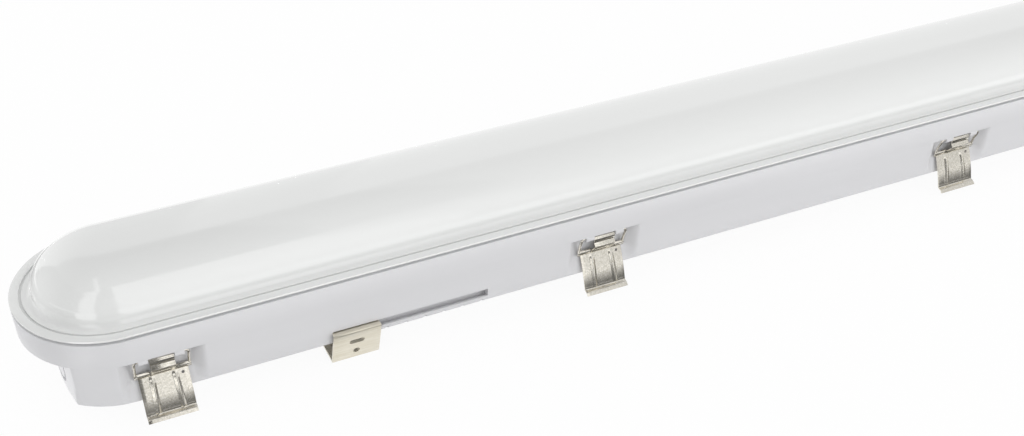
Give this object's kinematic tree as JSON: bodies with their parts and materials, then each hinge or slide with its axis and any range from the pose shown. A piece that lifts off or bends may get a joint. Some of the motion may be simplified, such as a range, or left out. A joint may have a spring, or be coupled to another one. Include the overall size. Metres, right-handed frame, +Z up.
{
  "type": "vapor tight light fixture",
  "caption": "Long sealed linear light with an arched opal diffuser, clamped onto a tray-shaped housing by swinging latches and carried by sliding U-shaped mounting brackets",
  "frame": {"origin": "centre of the footprint, on the surface under the mounting brackets", "axes": "+X along the fixture towards the cable gland, +Y across it away from the side seen in front, +Z up towards the diffuser"},
  "size_m": [1.5, 0.1182, 0.0891],
  "materials": {
    "housing": "light cool grey moulded polycarbonate, satin",
    "seal_gasket": "grey foamed seal",
    "diffuser": "opal polycarbonate, satin",
    "latch": "bright stainless spring steel, stamped",
    "bracket": "stainless steel sheet, folded",
    "tray": "white coated steel sheet",
    "retainer": "grey moulded clip",
    "board": "white circuit board",
    "led": "yellow phosphor",
    "screw": "zinc plated",
    "driver": "white plastic case",
    "terminal": "white moulded terminal block",
    "wire": "insulated conductor",
    "gland": "grey moulded nylon",
    "gland_seal": "black seal"
  },
  "bodies": {
    "fixture": {"housing": "housing", "seal_gasket": "seal_gasket", "diffuser": "diffuser", "gear_tray": "tray", "tray_retainer_near_1": "retainer", "tray_retainer_near_2": "retainer", "tray_retainer_near_3": "retainer", "tray_retainer_near_4": "retainer", "tray_retainer_far_1": "retainer", "tray_retainer_far_2": "retainer", "tray_retainer_far_3": "retainer", "tray_retainer_far_4": "retainer", "led_board_1": "board", "led_board_2": "board", "led_board_3": "board", "led_packages_1": "led", "led_packages_2": "led", "led_packages_3": "led", "board_screw_1": "screw", "board_screw_2": "screw", "board_screw_3": "screw", "board_screw_4": "screw", "board_screw_5": "screw", "board_screw_6": "screw", "driver_case": "driver", "driver_lid": "driver", "driver_screw_1": "screw", "driver_screw_2": "screw", "terminal_block": "terminal", "terminal_screw_1": "screw", "terminal_screw_2": "screw", "terminal_screw_3": "screw", "supply_wire_live": "wire", "supply_wire_neutral": "wire", "earth_wire": "wire", "earth_screw": "screw", "led_wires": "wire", "gland_body": "gland", "gland_washer": "gland_seal", "gland_bush": "gland_seal", "gland_dome_nut": "gland", "gland_locknut": "gland"},
    "latch_near_1_body": {"latch_near_1": "latch"},
    "latch_near_2_body": {"latch_near_2": "latch"},
    "latch_near_3_body": {"latch_near_3": "latch"},
    "latch_near_4_body": {"latch_near_4": "latch"},
    "latch_near_5_body": {"latch_near_5": "latch"},
    "latch_near_6_body": {"latch_near_6": "latch"},
    "latch_far_1_body": {"latch_far_1": "latch"},
    "latch_far_2_body": {"latch_far_2": "latch"},
    "latch_far_3_body": {"latch_far_3": "latch"},
    "latch_far_4_body": {"latch_far_4": "latch"},
    "latch_far_5_body": {"latch_far_5": "latch"},
    "latch_far_6_body": {"latch_far_6": "latch"},
    "mounting_bracket_left_body": {"mounting_bracket_left": "bracket"},
    "mounting_bracket_right_body": {"mounting_bracket_right": "bracket"}
  },
  "joints": [
    {"name": "latch_near_1_hinge", "type": "hinge", "parent": "fixture", "child": "latch_near_1_body", "pos_m": [-0.6815, -0.0502, 0.0438], "axis": [-1, 0, 0], "range_deg": [0, 75]},
    {"name": "latch_near_2_hinge", "type": "hinge", "parent": "fixture", "child": "latch_near_2_body", "pos_m": [-0.4089, -0.0502, 0.0438], "axis": [-1, 0, 0], "range_deg": [0, 75]},
    {"name": "latch_near_3_hinge", "type": "hinge", "parent": "fixture", "child": "latch_near_3_body", "pos_m": [-0.1363, -0.0502, 0.0438], "axis": [-1, 0, 0], "range_deg": [0, 75]},
    {"name": "latch_near_4_hinge", "type": "hinge", "parent": "fixture", "child": "latch_near_4_body", "pos_m": [0.1363, -0.0502, 0.0438], "axis": [-1, 0, 0], "range_deg": [0, 75]},
    {"name": "latch_near_5_hinge", "type": "hinge", "parent": "fixture", "child": "latch_near_5_body", "pos_m": [0.4089, -0.0502, 0.0438], "axis": [-1, 0, 0], "range_deg": [0, 75]},
    {"name": "latch_near_6_hinge", "type": "hinge", "parent": "fixture", "child": "latch_near_6_body", "pos_m": [0.6815, -0.0502, 0.0438], "axis": [-1, 0, 0], "range_deg": [0, 75]},
    {"name": "latch_far_1_hinge", "type": "hinge", "parent": "fixture", "child": "latch_far_1_body", "pos_m": [-0.6815, 0.0502, 0.0438], "axis": [1, 0, 0], "range_deg": [0, 75]},
    {"name": "latch_far_2_hinge", "type": "hinge", "parent": "fixture", "child": "latch_far_2_body", "pos_m": [-0.4089, 0.0502, 0.0438], "axis": [1, 0, 0], "range_deg": [0, 75]},
    {"name": "latch_far_3_hinge", "type": "hinge", "parent": "fixture", "child": "latch_far_3_body", "pos_m": [-0.1363, 0.0502, 0.0438], "axis": [1, 0, 0], "range_deg": [0, 75]},
    {"name": "latch_far_4_hinge", "type": "hinge", "parent": "fixture", "child": "latch_far_4_body", "pos_m": [0.1363, 0.0502, 0.0438], "axis": [1, 0, 0], "range_deg": [0, 75]},
    {"name": "latch_far_5_hinge", "type": "hinge", "parent": "fixture", "child": "latch_far_5_body", "pos_m": [0.4089, 0.0502, 0.0438], "axis": [1, 0, 0], "range_deg": [0, 75]},
    {"name": "latch_far_6_hinge", "type": "hinge", "parent": "fixture", "child": "latch_far_6_body", "pos_m": [0.6815, 0.0502, 0.0438], "axis": [1, 0, 0], "range_deg": [0, 75]},
    {"name": "mounting_bracket_left_slide", "type": "slide", "parent": "fixture", "child": "mounting_bracket_left_body", "axis": [1, 0, 0], "range_m": [0, 0.07]},
    {"name": "mounting_bracket_right_slide", "type": "slide", "parent": "fixture", "child": "mounting_bracket_right_body", "axis": [-1, 0, 0], "range_m": [0, 0.07]}
  ]
}
